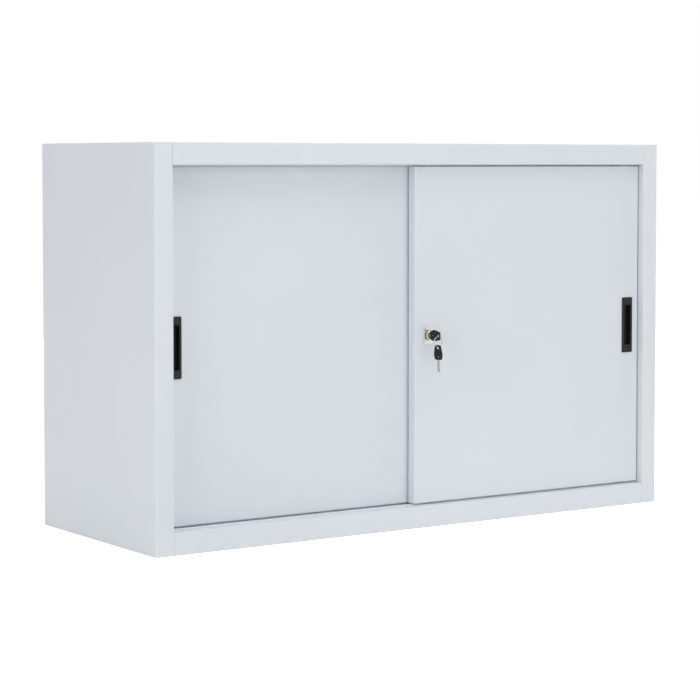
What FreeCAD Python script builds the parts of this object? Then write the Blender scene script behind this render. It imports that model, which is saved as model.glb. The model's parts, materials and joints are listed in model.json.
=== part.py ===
import FreeCAD, Part
import math
import os

# Half-height steel cabinet with two sliding doors, a push lock and its two keys.
# Frame: origin on the floor under the middle of the cabinet, +X to the right along
# the front, +Y from the front to the back, +Z up. Millimetres.

# ---------------------------------------------------------------- carcass
WIDTH = 1200.0
DEPTH = 450.0
HEIGHT = 750.0
SHEET = 0.8
BEND = 0.8                # inside radius of a visible fold
SHARP = 0.0               # folds of hidden channels are drawn without a radius
CORNER = 4.5              # outside radius of the front upright corners
STILE = 38.0              # width of the front uprights
JAMB = 36.0               # depth of the uprights' inner returns
TOP_RAIL = 41.0
RAIL_LIP = 11.8           # depth of the return under the top rail
RAIL_TURN = 16.0          # part of the rail's fold that runs into the top skin
PLINTH = 42.0             # height of the bottom rail and of the deck
PLINTH_FOOT = 20.0
REAR_FOOT = 18.0
SEAM = 0.4                # gap between a rail and an upright
HEM = 10.0                # hidden lips at the ends of folds
REAR_FLANGE = 20.0
RUNNER = 24.2             # width of the floor runners inside the sides
CHANNEL = 10.0            # depth of the upper side channels and shelf uprights
CLEAT = 30.0              # height of the upper side channels
BACK_PLAY = 0.4           # back panel's edge inside the cabinet's outline

LEFT = -WIDTH / 2
FRONT = -DEPTH / 2
BACK = DEPTH / 2
OPENING = WIDTH / 2 - STILE          # half the width of the door opening
INNER = WIDTH / 2 - SHEET            # inner face of the sides
SKIN_BOTTOM = HEIGHT - SHEET         # underside of the top skin
DECK_UNDER = PLINTH - SHEET
REAR_SKIN = BACK - SHEET             # inner face of the back panel
JAMB_BACK = FRONT + JAMB
RAIL_HALF = OPENING - SEAM           # half the length of rail and plinth

# ---------------------------------------------------------------- stiffening
RIB_X = (-300.0, 0.0, 300.0)         # pressed ribs of the back panel
RIB_LOW = 70.0
RIB_HIGH = 680.0
RIB_HALF = 22.0
RIB_DEPTH = 6.0
RIB_SLOPE = 10.0
BASE_HAT = (24.0, 30.0, 45.0)        # half widths: on the floor, under the deck, flange
BASE_HAT_Y = (FRONT + 22, REAR_SKIN - 20)
TOP_HAT = (26.0, 44.0, 16.0)         # half width, half width of the flanges, depth
TOP_HAT_Y = 35.0
TOP_HAT_HALF = 586.0
SHELF_HAT = (22.0, 40.0, 18.0)
SHELF_HAT_HALF = 570.0
DOOR_HAT = (18.0, 34.0, 14.0)
DOOR_HAT_SHARES = (0.3, 0.7)         # places across the door's width
DOOR_HAT_MARGIN = (35.0, 25.0)       # short of the door's foot and top
HAT_SLOPE = 3.0

# ---------------------------------------------------------------- doors
DOOR_WIDTH = 575.0
DOOR_THICK = 20.0
FOOT_GAP = 4.0            # between the deck and each door
HEAD_GAP = 3.0            # between each door and the top rail
DOOR_LOW = PLINTH + FOOT_GAP
DOOR_HIGH = HEIGHT - TOP_RAIL - HEAD_GAP
DOOR_FLANGE = 12.0        # returns on the back of a door
FRONT_DOOR_X = -15.0      # left edge of the front door when closed
REAR_DOOR_X = -561.5      # left edge of the rear door when closed
FRONT_DOOR_Y = FRONT + 15.0
REAR_DOOR_Y = FRONT + 38.5
DOOR_REACH = 560.0        # how far from the middle a door edge travels

# ---------------------------------------------------------------- running gear
RAIL_TOP = 45.0           # top of the ribs that the wheels run on
RAIL_BASE = 1.0
RAIL_MARGIN = 8.0
RIB_WIDTH = 3.0
WHEEL_RADIUS = 11.0
GROOVE_RADIUS = 9.0       # bottom of the wheel's vee
WHEEL_WIDTH = 6.0
AXLE_RADIUS = 2.0
AXLE_PLAY = 0.05
WHEEL_Z = 54.8
WHEEL_INSET = 52.0        # wheel axis from the door's edge
HOUSING_LENGTH = 46.0
HOUSING_TOP = 73.0
HOUSING_HALF = DOOR_THICK / 2 - SHEET - 0.05
POCKET_ROOM = 1.5         # round the wheel
POCKET_HALF = WHEEL_WIDTH / 2 + 0.6
GUIDE_BASE = 44.0
GUIDE_BASE_HEIGHT = 20.0
GUIDE_LENGTH = 26.0
GUIDE_WIDTH = 12.0
GUIDE_INSET = 20.0        # guide end from the door's edge
GUIDE_TOP = 720.0
GUIDE_CHAMFER = 2.5
TRACK_SLOT = 14.0
TRACK_WALL = 1.2
TRACK_LOW = 707.2
TRACK_END = 560.0
STOP_PLAY = 0.3
STOP_MARGIN = 0.2

# ---------------------------------------------------------------- handles
HANDLE_Z = 375.0
FRONT_HANDLE_X = 530.5
REAR_HANDLE_X = -538.0
HANDLE_WIDTH = 27.5
HANDLE_HEIGHT = 115.0
HANDLE_CORNER = 3.0
BEZEL = 2.2               # how far the handle stands proud of the door
BEZEL_CHAMFER = 0.9
PAD = 16.0                # grip pad at each end
CUP_WIDTH = 17.5
CUP_DEPTH = 12.0
CUP_WALL = 1.5
HANDLE_BODY = 22.5        # width of the part that passes through the door
GROOVES = 5               # across each grip pad
GROOVE_PITCH = 2.3
GROOVE_START = 3.4
GROOVE_DEPTH = 0.5
GROOVE_MARGIN = 4.5
BARB_Z = (-32.0, 32.0)    # snap barbs behind the door's skin
BARB_HALF = 4.0
BARB_REACH = 1.2
BARB_LENGTH = 4.5
FIT = 0.2                 # clearance of a moulding in its cut-out

# ---------------------------------------------------------------- shelf
SHELF_TOP = 380.0
SHELF_DEPTH = 25.0
SHELF_HALF = 586.0
SHELF_FRONT = -158.0
SHELF_BACK = 212.0
UPRIGHT_WIDTH = 20.0
UPRIGHT_Y = (-120.0, 176.0)
UPRIGHT_HIGH = 705.0
SLOT_PITCH = 50.0
SLOT_LEVELS = range(-5, 7)           # slots below and above the shelf's own
SLOT_HEIGHT = 4.0
SLOT_WIDTH = 12.0
CLIP_SHEET = 1.5
CLIP_REACH = 20.0
CLIP_HOOK = 8.0

# ---------------------------------------------------------------- lock
LOCK_X = 18.5
LOCK_Z = 376.0
PLATE_WIDTH = 22.8
PLATE_HEIGHT = 35.5
PLATE_THICK = 2.0
PLATE_CORNER = 2.2
PLATE_CHAMFER = 0.6
BARREL_RADIUS = 9.0
BARREL_FRONT = 9.0        # barrel's face in front of the door when unlocked
BARREL_LENGTH = 13.0
BARREL_CHAMFER = 0.9
BOLT_RADIUS = 4.2
BOLT_TIP = 19.5           # bolt tip behind the door's face when unlocked
CASE_RADIUS = 10.3
CASE_BACK = 16.5
CASE_FLOOR = 15.0         # inside of the case's back wall
NUT_FLAT = 13.5           # half the width across the nut's flats
NUT_THICK = 4.0
PLUG_RADIUS = 6.0
PLUG_LENGTH = 10.8
RUNNING = 0.06            # radial play of the lock's moving pieces
SPRING_WIRE = 0.35        # half the width of the square wire
SPRING_RADIUS = 6.5
SPRING_TURNS = 3
SPRING_STEPS = 12         # straight lengths per turn
SPRING_PLAY = 0.05

# ---------------------------------------------------------------- keys and ring
BLADE_THICK = 1.8
BLADE_HALF = 3.1
BLADE_LENGTH = 24.5
BLADE_ROOM = 3.6          # radius bored behind the plug for the blade
BLADE_PLAY = 0.1
TANG = 11.0               # part of the blade inside the bow
TIP_LENGTH = 2.0
CUT_START = 4.8           # first cut from the tip
CUT_DEPTHS = (0.9, 1.6, 0.6, 1.3, 0.8)
CUT_PITCH = 3.6
CUT_FLAT = 0.5            # half the flat floor of a cut
BLADE_GROOVE = 0.45
BLADE_GROOVE_V = (0.6, 1.7)
BOW_LENGTH = 29.0
BOW_THICK = 2.8
BOW_FRONT = 9.3           # bow's inner end in front of the door
BOW_SHAPE = [             # u from the inner end outwards, v across, corner radius
    (-0.8, -8.6, 1.8), (2.4, -3.4, 1.2), (2.4, 3.4, 1.2), (-0.8, 8.6, 1.8),
    (10.0, 11.2, 8.0), (BOW_LENGTH, 7.4, 4.0), (BOW_LENGTH, -7.4, 4.0), (10.0, -11.2, 8.0)]
WINDOW_U = 5.4
WINDOW_RADIUS = 1.4
RING_HOLE = 23.2          # ring hole from the bow's inner end
RING_HOLE_RADIUS = 3.0
RING_RADIUS = 9.75
RING_WIRE = 0.65          # half the width of the flat wire, across and along the ring's axis
RING_LENGTHS = 24         # straight lengths round the ring
RING_HANG = 1.9           # wire below the middle of the hole that it hangs in
RING_ASIDE = 0.5          # the ring hangs a little to the left of the lock's axis
SPARE_YAW = 8.0
SPARE_LEAN = 4.0          # the spare key's tip hangs to the right
RING_Y = FRONT_DOOR_Y - BOW_FRONT - RING_HOLE
RING_TOP = LOCK_Z - RING_HANG
RING_BOTTOM = RING_TOP - 2 * RING_RADIUS


def vec(x, y, z):
    return FreeCAD.Vector(x, y, z)


def block(x_range, y_range, z_range):
    """A box between two x, two y and two z values, each pair in any order."""
    spans = [sorted(pair) for pair in (x_range, y_range, z_range)]
    sizes = [high - low for low, high in spans]
    return Part.makeBox(*sizes, vec(*[low for low, high in spans]))


def rod(radius, start, end):
    """A round bar from one point to another."""
    axis = end - start
    return Part.makeCylinder(radius, axis.Length, start, axis)


def outline(corners, radii, place):
    """A flat face with rounded corners; place turns (u, v) into a point."""
    flat = [vec(u, v, 0) for u, v in corners]
    arcs = []
    for i, here in enumerate(flat):
        if radii[i] <= 0:
            arcs.append((here, None, here))
            continue
        back = (flat[i - 1] - here).normalize()
        ahead = (flat[(i + 1) % len(flat)] - here).normalize()
        half = back.getAngle(ahead) / 2
        setback = radii[i] / math.tan(half)
        crown = here + (back + ahead).normalize() * (radii[i] / math.sin(half) - radii[i])
        arcs.append((here + back * setback, crown, here + ahead * setback))
    edges = []
    for i, (start, crown, end) in enumerate(arcs):
        if crown is not None:
            edges.append(Part.Arc(place(start), place(crown), place(end)).toShape())
        following = arcs[(i + 1) % len(arcs)][0]
        if (following - end).Length > 1e-6:
            edges.append(Part.LineSegment(place(end), place(following)).toShape())
    return Part.Face(Part.Wire(edges))


def in_plan(p):
    return vec(p.x, p.y, 0)


def in_front(p):
    return vec(p.x, 0, p.y)


def in_side(p):
    return vec(0, p.x, p.y)


def sharp_outline(corners, place):
    return outline(corners, [0] * len(corners), place)


def sheet_section(path, place, thickness=SHEET, inside=BEND, wide=None):
    """Section of a folded sheet that lies to the left of its path.

    inside is the inner radius of every fold, and SHARP leaves them without one;
    wide gives another inner radius by fold index.
    """
    points = [vec(u, v, 0) for u, v in path]
    runs = [(b - a).normalize() for a, b in zip(points, points[1:])]
    lefts = [vec(-run.y, run.x, 0) for run in runs]
    near = [0.0]
    far = [0.0]
    offset = [points[0] + lefts[0] * thickness]
    for i in range(1, len(points) - 1):
        inner = (wide or {}).get(i, inside)
        outer = inner + thickness if inner > 0 else 0.0
        turns_left = runs[i - 1].cross(runs[i]).z > 0
        near.append(outer if turns_left else inner)
        far.append(inner if turns_left else outer)
        mitre = (lefts[i - 1] + lefts[i]) * (thickness / (1 + lefts[i - 1].dot(lefts[i])))
        offset.append(points[i] + mitre)
    near.append(0.0)
    far.append(0.0)
    offset.append(points[-1] + lefts[-1] * thickness)
    corners = [(p.x, p.y) for p in points + offset[::-1]]
    return outline(corners, near + far[::-1], place)


def along_x(face, low, high):
    return face.extrude(vec(high - low, 0, 0)).translated(vec(low, 0, 0))


def along_y(face, low, high):
    return face.extrude(vec(0, high - low, 0)).translated(vec(0, low, 0))


def along_z(face, low, high):
    return face.extrude(vec(0, 0, high - low)).translated(vec(0, 0, low))


def mirrored(shape):
    return shape.mirror(vec(0, 0, 0), vec(1, 0, 0))


def upside_down(shape):
    return shape.mirror(vec(0, 0, 0), vec(0, 0, 1))


def fused(*shapes):
    return shapes[0].fuse(list(shapes[1:])).removeSplitter()


def rounded_plate(half_width, half_height, radius, y_range):
    """A plate in the XZ plane about the origin with rounded corners."""
    corners = [(-half_width, -half_height), (half_width, -half_height),
               (half_width, half_height), (-half_width, half_height)]
    return along_y(outline(corners, [radius] * 4, in_front), *y_range)


def face_rim(shape, y):
    """The edges that lie in the plane at y."""
    return [e for e in shape.Edges if all(abs(v.Y - y) < 1e-6 for v in e.Vertexes)]


def hat_path(middle, base, hat):
    """Path of a hat channel that rises from its base, seen along its length."""
    half_top, half_foot, depth = hat
    return [(middle - half_foot, base), (middle - half_top - HAT_SLOPE, base),
            (middle - half_top, base + depth), (middle + half_top, base + depth),
            (middle + half_top + HAT_SLOPE, base), (middle + half_foot, base)]


def hanging_hat(hat, half_length, y, ceiling):
    """A hat channel along X whose flanges are welded to the underside of a sheet."""
    bar = along_x(sheet_section(hat_path(0, 0, hat), in_side, inside=SHARP),
                  -half_length, half_length)
    return upside_down(bar).translated(vec(0, y, ceiling))


# ================================================================ carcass

def side_panel():
    """Left side: rear flange, skin, round corner, front upright, jamb and hem."""
    path = [(LEFT + REAR_FLANGE, REAR_SKIN), (LEFT, REAR_SKIN), (LEFT, FRONT),
            (-OPENING, FRONT), (-OPENING, JAMB_BACK), (-OPENING - HEM, JAMB_BACK)]
    section = sheet_section(path, in_plan, inside=SHARP, wide={2: CORNER - SHEET, 3: BEND})
    return along_z(section, 0, SKIN_BOTTOM)


def floor_runner():
    """Left floor runner: a channel against the side that carries the deck's end."""
    wall = -INNER
    path = [(wall, 0), (wall + RUNNER, 0), (wall + RUNNER, DECK_UNDER), (wall, DECK_UNDER)]
    return along_y(sheet_section(path, in_front, inside=SHARP), JAMB_BACK + 1, REAR_SKIN - 2)


def upper_channel():
    """Left upper channel: joins the side to the top skin."""
    wall = -INNER
    low = SKIN_BOTTOM - CLEAT
    path = [(wall, low), (wall + CHANNEL, low), (wall + CHANNEL, SKIN_BOTTOM),
            (wall, SKIN_BOTTOM)]
    return along_y(sheet_section(path, in_front, inside=SHARP), JAMB_BACK + 4, REAR_SKIN - 2)


def top_panel():
    """Top skin with its front rail and rear flange."""
    corners = [(LEFT, FRONT), (-LEFT, FRONT), (-LEFT, BACK), (LEFT, BACK)]
    skin = along_z(outline(corners, [CORNER, CORNER, 0, 0], in_plan), SKIN_BOTTOM, HEIGHT)
    notch = block((-RAIL_HALF, RAIL_HALF), (FRONT - 1, FRONT + RAIL_TURN / 2),
                  (SKIN_BOTTOM - 1, HEIGHT + 1))
    low = HEIGHT - TOP_RAIL
    path = [(FRONT + RAIL_TURN, HEIGHT), (FRONT, HEIGHT), (FRONT, low),
            (FRONT + RAIL_LIP, low), (FRONT + RAIL_LIP, low + HEM)]
    section = sheet_section(path, in_side, inside=SHARP, wide={1: BEND, 2: BEND})
    rail = along_x(section, -RAIL_HALF, RAIL_HALF)
    flange_half = WIDTH / 2 - REAR_FLANGE - 1
    flange = block((-flange_half, flange_half), (REAR_SKIN - SHEET, REAR_SKIN),
                   (HEIGHT - REAR_FLANGE, SKIN_BOTTOM))
    return fused(skin.cut(notch), rail, flange)


def bottom_panel():
    """Plinth rail, deck and floor flanges, notched round the uprights."""
    path = [(REAR_SKIN - REAR_FOOT, 0), (REAR_SKIN, 0), (REAR_SKIN, PLINTH), (FRONT, PLINTH),
            (FRONT, 0), (FRONT + PLINTH_FOOT, 0), (FRONT + PLINTH_FOOT, HEM)]
    section = sheet_section(path, in_side, inside=SHARP, wide={3: BEND, 4: BEND})
    tray = along_x(section, -RAIL_HALF, RAIL_HALF)
    wings = [block((side * (RAIL_HALF - 2), side * (INNER - 0.3)),
                   (JAMB_BACK + 0.6, REAR_SKIN - SHEET - 0.4), (DECK_UNDER, PLINTH))
             for side in (-1, 1)]
    return fused(tray, *wings)


def pressed_rib(x, face_y):
    """Solid of one pressed rib: a shallow hipped bar, wide at face_y."""
    def bar(half, low, high, y):
        corners = [(x - half, low), (x + half, low), (x + half, high), (x - half, high)]
        return sharp_outline(corners, in_front).translated(vec(0, y, 0)).OuterWire

    foot = bar(RIB_HALF, RIB_LOW, RIB_HIGH, face_y)
    crest = bar(RIB_HALF / 2, RIB_LOW + RIB_SLOPE, RIB_HIGH - RIB_SLOPE, face_y - RIB_DEPTH)
    return Part.makeLoft([foot, crest], True, True)


def back_panel():
    """Flat sheet with three upright ribs pressed towards the inside."""
    half = WIDTH / 2 - BACK_PLAY
    panel = block((-half, half), (REAR_SKIN, BACK), (BACK_PLAY, SKIN_BOTTOM - BACK_PLAY))
    for x in RIB_X:
        dent = pressed_rib(x, BACK)
        crown = pressed_rib(x, REAR_SKIN)
        panel = panel.cut(dent).fuse(crown.cut(dent))
    return panel.removeSplitter()


def base_stiffener():
    """Hat channel from the deck down to the floor, front to back at mid width."""
    on_floor, under_deck, flange = BASE_HAT
    path = [(flange, DECK_UNDER), (under_deck, DECK_UNDER), (on_floor, SHEET),
            (-on_floor, SHEET), (-under_deck, DECK_UNDER), (-flange, DECK_UNDER)]
    return along_y(sheet_section(path, in_front, inside=SHARP), *BASE_HAT_Y)


def track_centres():
    return (FRONT_DOOR_Y + DOOR_THICK / 2, REAR_DOOR_Y + DOOR_THICK / 2)


def top_track():
    """Two downward channels in which the doors' guides slide, folded from one strip."""
    reach = TRACK_SLOT / 2 + TRACK_WALL
    front, rear = track_centres()
    path = [(rear + reach, TRACK_LOW), (rear + reach, SKIN_BOTTOM),
            (rear - reach, SKIN_BOTTOM), (rear - reach, TRACK_LOW),
            (front + reach, TRACK_LOW), (front + reach, SKIN_BOTTOM),
            (front - reach, SKIN_BOTTOM), (front - reach, TRACK_LOW)]
    section = sheet_section(path, in_side, thickness=TRACK_WALL, inside=SHARP)
    return along_x(section, -TRACK_END, TRACK_END)


def bottom_track():
    """Strip on the deck with two rounded ribs that carry the wheels."""
    front, rear = track_centres()
    span = (-TRACK_END, TRACK_END)
    shapes = [block(span, (front - RAIL_MARGIN, rear + RAIL_MARGIN),
                    (PLINTH, PLINTH + RAIL_BASE))]
    crown = RIB_WIDTH / 2
    for y in (front, rear):
        shapes.append(block(span, (y - crown, y + crown), (PLINTH, RAIL_TOP - crown)))
        shapes.append(rod(crown, vec(-TRACK_END, y, RAIL_TOP - crown),
                          vec(TRACK_END, y, RAIL_TOP - crown)))
    return fused(*shapes)


def track_end_stops():
    """Rubber blocks at the ends of both channels that the guides run against."""
    front, rear = track_centres()
    closed_left = {front: -DOOR_REACH, rear: REAR_DOOR_X}
    closed_right = {front: FRONT_DOOR_X + DOOR_WIDTH, rear: DOOR_REACH}
    half = TRACK_SLOT / 2 - STOP_MARGIN
    height = (TRACK_LOW + 0.5, SKIN_BOTTOM - TRACK_WALL)
    stops = []
    for y in (front, rear):
        left_face = closed_left[y] + GUIDE_INSET - STOP_PLAY
        right_face = closed_right[y] - GUIDE_INSET + STOP_PLAY
        for span in ((-TRACK_END, left_face), (right_face, TRACK_END)):
            stops.append(block(span, (y - half, y + half), height))
    return Part.makeCompound(stops)


# ================================================================ shelf and its supports

def shelf_upright(y):
    """Left slotted upright, a channel welded to the side panel."""
    wall = -INNER
    web = wall + CHANNEL
    half = UPRIGHT_WIDTH / 2
    path = [(wall, y - half), (web, y - half), (web, y + half), (wall, y + half)]
    channel = along_z(sheet_section(path, in_plan, inside=SHARP), PLINTH, UPRIGHT_HIGH)
    own = SHELF_TOP - SHELF_DEPTH - CLIP_SHEET
    levels = [own + SLOT_PITCH * step for step in SLOT_LEVELS]
    slots = [block((web - 3, web + 3), (y - SLOT_WIDTH / 2, y + SLOT_WIDTH / 2),
                   (z, z + SLOT_HEIGHT)) for z in levels]
    return channel.cut(Part.makeCompound(slots))


def shelf_clip(y):
    """Left shelf clip: a ledge whose tongue hooks up behind the slotted web."""
    web = -INNER + CHANNEL
    low = SHELF_TOP - SHELF_DEPTH - CLIP_SHEET
    tail = web - SHEET - CLIP_SHEET - 0.4
    path = [(tail, low + CLIP_HOOK), (tail, low), (web + CLIP_REACH, low)]
    section = sheet_section(path, in_front, thickness=CLIP_SHEET, inside=SHARP)
    half = SLOT_WIDTH / 2 - 0.4
    return along_y(section, y - half, y + half)


def shelf_clips():
    left = [shelf_clip(y) for y in UPRIGHT_Y]
    return Part.makeCompound(left + [mirrored(s) for s in left])


def pan(x_range, y_range, z_range, up):
    """A folded tray: a skin, four sides, and returns round the open face.

    The skin is at the top when up is true, and otherwise in front.
    """
    inset = [(low + SHEET, high - SHEET) for low, high in (x_range, y_range, z_range)]
    window = [(low + DOOR_FLANGE, high - DOOR_FLANGE)
              for low, high in (x_range, y_range, z_range)]
    if up:
        window[2] = (z_range[0] - 1, z_range[0] + 2 * SHEET)
    else:
        window[1] = (y_range[1] - 2 * SHEET, y_range[1] + 1)

    def level(vertex):
        return vertex.Z if up else vertex.Y

    def rounded(shape, at, radius):
        rim = [e for e in shape.Edges if all(abs(level(v) - at) < 1e-6 for v in e.Vertexes)]
        return shape.makeFillet(radius, rim)

    skin = z_range[1] if up else y_range[0]
    inward = -SHEET if up else SHEET
    outer = rounded(block(x_range, y_range, z_range), skin, BEND + SHEET)
    inner = rounded(block(*inset), skin + inward, BEND)
    return outer.cut(inner).cut(block(*window))


def shelf_board():
    return pan((-SHELF_HALF, SHELF_HALF), (SHELF_FRONT, SHELF_BACK),
               (SHELF_TOP - SHELF_DEPTH, SHELF_TOP), True)


# ================================================================ doors

def wheel_places(door_x):
    return (door_x + WHEEL_INSET, door_x + DOOR_WIDTH - WHEEL_INSET)


def guide_places(door_x):
    inset = GUIDE_INSET + GUIDE_LENGTH / 2
    return (door_x + inset, door_x + DOOR_WIDTH - inset)


def handle_opening(handle_x, face_y):
    half_width = HANDLE_BODY / 2 + FIT
    half_height = (HANDLE_HEIGHT - (HANDLE_WIDTH - HANDLE_BODY)) / 2 + FIT
    return block((handle_x - half_width, handle_x + half_width), (face_y - 1, face_y + 2),
                 (HANDLE_Z - half_height, HANDLE_Z + half_height))


def door_panel(door_x, face_y, handle_x):
    """One door: a folded pan with cut-outs for handle, wheels and guides."""
    shape = pan((door_x, door_x + DOOR_WIDTH), (face_y, face_y + DOOR_THICK),
                (DOOR_LOW, DOOR_HIGH), False)
    middle = face_y + DOOR_THICK / 2
    cutters = [handle_opening(handle_x, face_y)]
    wheel_half = WHEEL_RADIUS + 2
    for x in wheel_places(door_x):
        cutters.append(block((x - wheel_half, x + wheel_half), (middle - 5, middle + 5),
                             (DOOR_LOW - 1, DOOR_LOW + 2)))
    guide_half = GUIDE_LENGTH / 2 + FIT
    guide_width = GUIDE_WIDTH / 2 + FIT
    for x in guide_places(door_x):
        cutters.append(block((x - guide_half, x + guide_half),
                             (middle - guide_width, middle + guide_width),
                             (DOOR_HIGH - 2, DOOR_HIGH + 1)))
    return shape.cut(Part.makeCompound(cutters))


def door_stiffeners(door_x, face_y):
    """Two upright hat channels bonded to the inside of the skin."""
    low = DOOR_LOW + DOOR_HAT_MARGIN[0]
    high = DOOR_HIGH - DOOR_HAT_MARGIN[1]
    bars = []
    for share in DOOR_HAT_SHARES:
        path = hat_path(door_x + share * DOOR_WIDTH, face_y + SHEET, DOOR_HAT)
        bars.append(along_z(sheet_section(path, in_plan, inside=SHARP), low, high))
    return Part.makeCompound(bars)


def seated_block(x_range, y_range, seat, away):
    """A block behind a door's skin, chamfered where it sits in the fold at the edge.

    seat is the height of the edge that it rests on, away that of its free end.
    """
    front, back = y_range
    step = BEND if away > seat else -BEND
    section = [(front + BEND, seat), (back, seat), (back, away), (front, away),
               (front, seat + step)]
    return along_x(sharp_outline(section, in_side), *x_range)


def wheel_housings(door_x, face_y):
    """Moulded blocks in the door's foot, each with a wheel pocket and axle slots.

    The slots are open below: the axle snaps in from there and bears on their ends.
    """
    middle = face_y + DOOR_THICK / 2
    reach = WHEEL_RADIUS + POCKET_ROOM
    cheeks = (middle - HOUSING_HALF, middle + HOUSING_HALF)
    housings = []
    for x in wheel_places(door_x):
        body = seated_block((x - HOUSING_LENGTH / 2, x + HOUSING_LENGTH / 2), cheeks,
                            DOOR_LOW + SHEET, HOUSING_TOP)
        pocket = block((x - reach, x + reach), (middle - POCKET_HALF, middle + POCKET_HALF),
                       (0, WHEEL_Z + reach))
        slot = block((x - AXLE_RADIUS, x + AXLE_RADIUS), cheeks, (0, WHEEL_Z + AXLE_RADIUS))
        housings.append(body.cut([pocket, slot]))
    return Part.makeCompound(housings)


def wheel_axles(door_x, face_y):
    middle = face_y + DOOR_THICK / 2
    half = HOUSING_HALF - 0.35
    return Part.makeCompound([rod(AXLE_RADIUS, vec(x, middle - half, WHEEL_Z),
                                  vec(x, middle + half, WHEEL_Z))
                              for x in wheel_places(door_x)])


def door_wheel(x, face_y):
    """Nylon wheel with a vee groove, turned about the axle's line."""
    half = WHEEL_WIDTH / 2
    bore = AXLE_RADIUS + AXLE_PLAY
    profile = [(bore, -half), (WHEEL_RADIUS, -half), (GROOVE_RADIUS, 0),
               (WHEEL_RADIUS, half), (bore, half)]
    wheel = sharp_outline(profile, in_plan).revolve(vec(0, 0, 0), vec(0, 1, 0), 360)
    return wheel.translated(vec(x, face_y + DOOR_THICK / 2, WHEEL_Z))


def top_guides(door_x, face_y):
    """Nylon blocks under the door's top edge with tongues that run in the track."""
    middle = face_y + DOOR_THICK / 2
    length = GUIDE_LENGTH / 2
    width = GUIDE_WIDTH / 2
    cut = GUIDE_CHAMFER
    tongue = [(-length, cut - width), (cut - length, -width), (length - cut, -width),
              (length, cut - width), (length, width - cut), (length - cut, width),
              (cut - length, width), (-length, width - cut)]
    guides = []
    for x in guide_places(door_x):
        left = max(x - GUIDE_BASE / 2, door_x + SHEET + FIT)
        right = min(x + GUIDE_BASE / 2, door_x + DOOR_WIDTH - SHEET - FIT)
        base = seated_block((left, right), (middle - HOUSING_HALF, middle + HOUSING_HALF),
                            DOOR_HIGH - SHEET, DOOR_HIGH - GUIDE_BASE_HEIGHT)
        post = along_z(sharp_outline(tongue, in_plan), DOOR_HIGH - SHEET, GUIDE_TOP)
        guides.append(fused(base, post.translated(vec(x, middle, 0))))
    return Part.makeCompound(guides)


def grip_grooves(side, front, cup_half):
    """Vee grooves across the grip pad above (+1) or below (-1) the cup."""
    half = HANDLE_WIDTH / 2 - GROOVE_MARGIN
    cutters = []
    for step in range(GROOVES):
        z = side * (cup_half + GROOVE_START + GROOVE_PITCH * step)
        vee = [(front - GROOVE_DEPTH, z - 2 * GROOVE_DEPTH), (front + GROOVE_DEPTH, z),
               (front - GROOVE_DEPTH, z + 2 * GROOVE_DEPTH)]
        cutters.append(along_x(sharp_outline(vee, in_side), -half, half))
    return cutters


def snap_barb(side, z, face_y):
    wall = side * HANDLE_BODY / 2
    start = face_y + SHEET + 0.1
    corners = [(wall - side * 0.5, start), (wall + side * BARB_REACH, start),
               (wall - side * 0.5, start + BARB_LENGTH)]
    return along_z(sharp_outline(corners, in_plan), z - BARB_HALF, z + BARB_HALF)


def recessed_handle(handle_x, face_y):
    """Flush pull: bezel, finger cup, two grooved grip pads hollow behind, snap barbs."""
    front = face_y - BEZEL
    half_height = HANDLE_HEIGHT / 2
    bezel = rounded_plate(HANDLE_WIDTH / 2, half_height, HANDLE_CORNER, (front, face_y))
    bezel = bezel.makeChamfer(BEZEL_CHAMFER, face_rim(bezel, front))
    body_half = half_height - (HANDLE_WIDTH - HANDLE_BODY) / 2
    back = front + CUP_DEPTH + CUP_WALL
    body = block((-HANDLE_BODY / 2, HANDLE_BODY / 2), (face_y, back), (-body_half, body_half))
    cup_half = half_height - PAD
    cup = block((-CUP_WIDTH / 2, CUP_WIDTH / 2), (front - 1, front + CUP_DEPTH),
                (-cup_half, cup_half))
    cutters = [cup]
    shapes = [bezel, body]
    hollow_half = HANDLE_BODY / 2 - CUP_WALL
    for side in (-1, 1):
        cutters.append(block((-hollow_half, hollow_half), (face_y + 0.6, back + 1),
                             (side * (cup_half + CUP_WALL), side * (body_half - CUP_WALL))))
        cutters += grip_grooves(side, front, cup_half)
        shapes += [snap_barb(side, z, face_y) for z in BARB_Z]
    return fused(*shapes).cut(cutters).translated(vec(handle_x, 0, HANDLE_Z))


# ================================================================ lock

def turned(profile):
    """Solid of revolution about the lock's axis; profile is (radius, y from the door)."""
    solid = sharp_outline(profile, in_plan).revolve(vec(0, 0, 0), vec(0, 1, 0), 360)
    return solid.translated(vec(LOCK_X, FRONT_DOOR_Y, LOCK_Z))


def lock_hole():
    start = vec(LOCK_X, FRONT_DOOR_Y - 1, LOCK_Z)
    return rod(CASE_RADIUS + FIT, start, start + vec(0, 3, 0))


def lock_case():
    """Face plate with the round case behind it, bored for barrel and bolt."""
    plate = rounded_plate(PLATE_WIDTH / 2, PLATE_HEIGHT / 2, PLATE_CORNER, (-PLATE_THICK, 0))
    plate = plate.makeChamfer(PLATE_CHAMFER, face_rim(plate, -PLATE_THICK))
    plate = plate.translated(vec(LOCK_X, FRONT_DOOR_Y, LOCK_Z))
    case = turned([(0, 0), (CASE_RADIUS, 0), (CASE_RADIUS, CASE_BACK), (0, CASE_BACK)])
    barrel_bore = BARREL_RADIUS + RUNNING
    bolt_bore = BOLT_RADIUS + RUNNING
    bore = turned([(0, -5), (barrel_bore, -5), (barrel_bore, CASE_FLOOR),
                   (bolt_bore, CASE_FLOOR), (bolt_bore, CASE_BACK + 1), (0, CASE_BACK + 1)])
    return fused(plate, case).cut(bore)


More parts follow.
